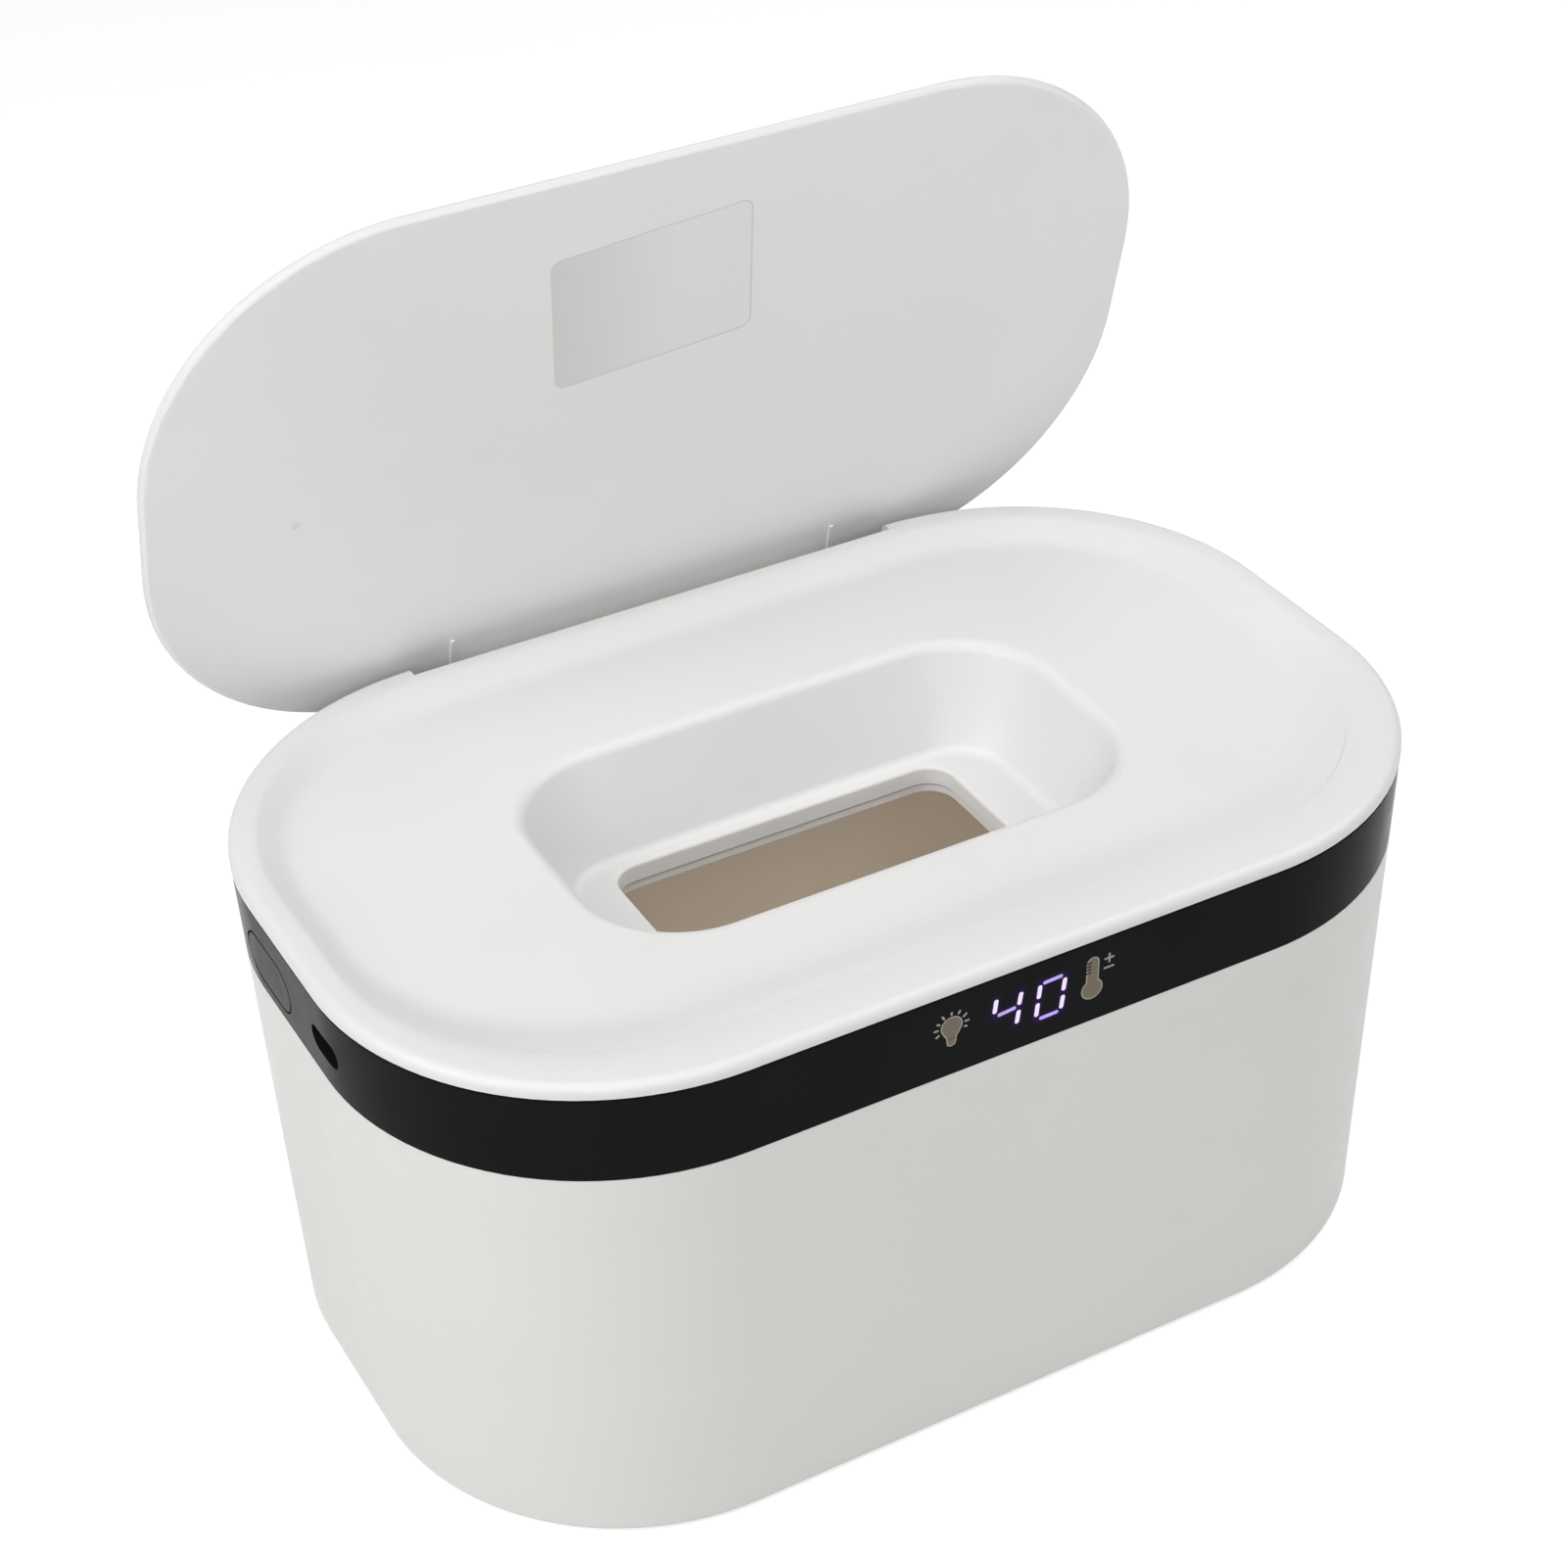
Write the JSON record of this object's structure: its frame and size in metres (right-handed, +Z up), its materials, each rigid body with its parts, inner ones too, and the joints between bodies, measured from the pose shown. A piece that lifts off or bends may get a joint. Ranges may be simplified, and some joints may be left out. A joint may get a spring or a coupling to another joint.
{
  "type": "baby wipe warmer",
  "caption": "Free-standing rounded box warmer for baby wipes, with a leaning hinged lid, a sloped tray around a tapered dispensing slot, a dark control band and a heated inner tub.",
  "frame": {"origin": "on the table under the middle of the body, in the plane of the feet", "axes": "+Z up, +X along the long side towards the right seen from the front, -Y towards the display at the front"},
  "size_m": [0.21, 0.1435, 0.2062],
  "materials": {
    "shell_white": "satin moulded white plastic",
    "frame_white": "satin moulded white plastic",
    "lid_white": "fine matt inner face, satin edge",
    "band_black": "glossy black plastic",
    "tub_warm": "smooth warm white plastic",
    "cover_white": "fine matt plastic",
    "rubber_dark": "matt rubber",
    "silicone": "soft silicone",
    "steel": "plated steel",
    "aluminium_plate": "rolled aluminium",
    "film_amber": "polyimide film",
    "foam": "closed-cell foam",
    "board_green": "lacquered circuit board",
    "dark_plastic": "matt black plastic",
    "part_blue": "sleeved capacitor and coil",
    "spring_metal": "plated spring wire",
    "lamp_white": "lamp resin",
    "stem_cream": "moulded stem",
    "cable_grey": "flat cable",
    "lead_red": "silicone insulation"
  },
  "bodies": {
    "base": {"outer_shell": "shell_white", "base_cover": "cover_white", "rubber_feet": "rubber_dark", "base_screws": "steel", "control_band": "band_black", "band_screws": "steel", "inner_tub": "tub_warm", "heat_spreader": "aluminium_plate", "heater_film": "film_amber", "insulation_pad": "foam", "insulation_sleeve": "foam", "thermistor": "dark_plastic", "thermal_fuse": "steel", "sealing_ring": "silicone", "display_board": "board_green", "display_module": "dark_plastic", "touch_springs": "spring_metal", "night_light_leds": "lamp_white", "power_board": "board_green", "power_parts": "part_blue", "board_screws": "steel", "power_socket": "steel", "socket_tongue": "dark_plastic", "switch_body": "dark_plastic", "ribbon_cable": "cable_grey", "heater_leads": "lead_red"},
    "side_button": {"side_button": "band_black", "switch_stem": "stem_cream"},
    "top_frame": {"top_frame": "frame_white", "slot_liner": "frame_white", "liner_screws": "steel", "hinge_pins": "steel"},
    "lid": {"lid": "lid_white"}
  },
  "joints": [
    {"name": "frame_lift", "type": "slide", "parent": "base", "child": "top_frame", "axis": [0, 0, 1], "range_m": [0, 0.06]},
    {"name": "lid_hinge", "type": "hinge", "parent": "top_frame", "child": "lid", "pos_m": [0, 0.0606, 0.0941], "axis": [1, 0, 0], "range_deg": [0, 75]},
    {"name": "button_press", "type": "slide", "parent": "base", "child": "side_button", "axis": [1, 0, 0], "range_m": [0, 0.0005], "stiffness_N_per_m": 600, "springref_m": -0.001}
  ]
}
